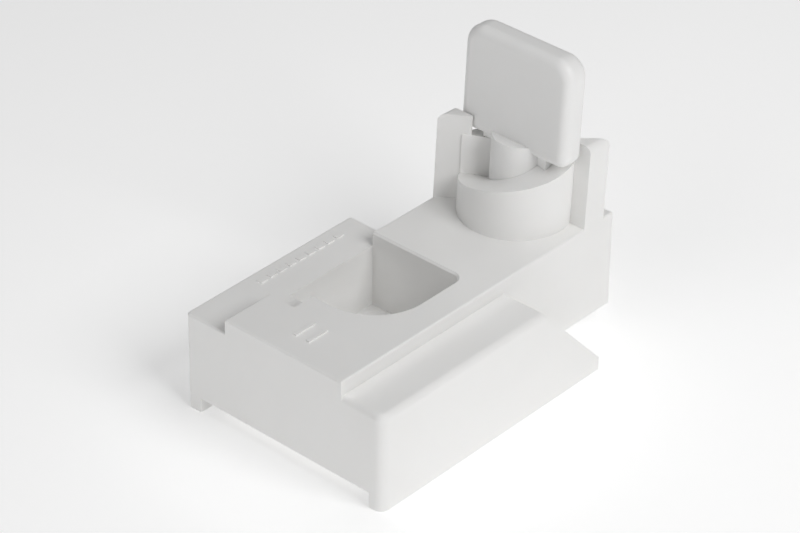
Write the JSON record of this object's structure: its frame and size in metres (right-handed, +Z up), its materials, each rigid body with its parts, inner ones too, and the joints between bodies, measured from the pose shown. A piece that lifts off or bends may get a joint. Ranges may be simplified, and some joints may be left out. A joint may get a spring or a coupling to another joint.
{
  "type": "stair gate latch",
  "caption": "Moulded gate latch base with a channel underneath, a finger paddle on a helical collar and a locking bolt that it drives down.",
  "frame": {"origin": "centre of the footprint on the plane the two feet rest on", "axes": "+Z up from the feet, +Y from the front end to the end with the paddle, +X to the right seen from the front end"},
  "size_m": [0.06, 0.0938, 0.0746],
  "materials": {
    "housing_plastic": "white moulding, satin with a very fine grain",
    "paddle_plastic": "white moulding, satin",
    "bolt_plastic": "natural white slippery plastic",
    "ring_rubber": "black nitrile rubber",
    "pin_steel": "turned bright steel",
    "spring_steel": "drawn spring wire",
    "screw_steel": "zinc plated steel"
  },
  "bodies": {
    "latch_body": {"housing": "housing_plastic", "base_cover": "housing_plastic", "cover_screws": "screw_steel", "guide_bush": "bolt_plastic", "fixing_sleeve": "screw_steel"},
    "bolt_assembly": {"locking_bolt": "bolt_plastic", "thrust_washer": "pin_steel", "bolt_spring": "spring_steel"},
    "paddle_assembly": {"paddle": "paddle_plastic", "friction_ring": "ring_rubber", "spindle": "pin_steel", "cross_pin": "pin_steel", "retaining_clip": "spring_steel"}
  },
  "joints": [
    {"name": "bolt_slide", "type": "slide", "parent": "latch_body", "child": "bolt_assembly", "axis": [0, 0.0523, 0.9986], "range_m": [-0.00776, 0], "deforming": ["bolt_spring"]},
    {"name": "paddle_turn", "type": "hinge", "parent": "bolt_assembly", "child": "paddle_assembly", "pos_m": [0, 0.0323, 0.0297], "axis": [0, 0.0523, 0.9986], "range_deg": [-135, 0]}
  ],
  "couplings": [
    {"joint": "paddle_turn", "follows": "bolt_slide", "rad_per_m": 303.53}
  ]
}
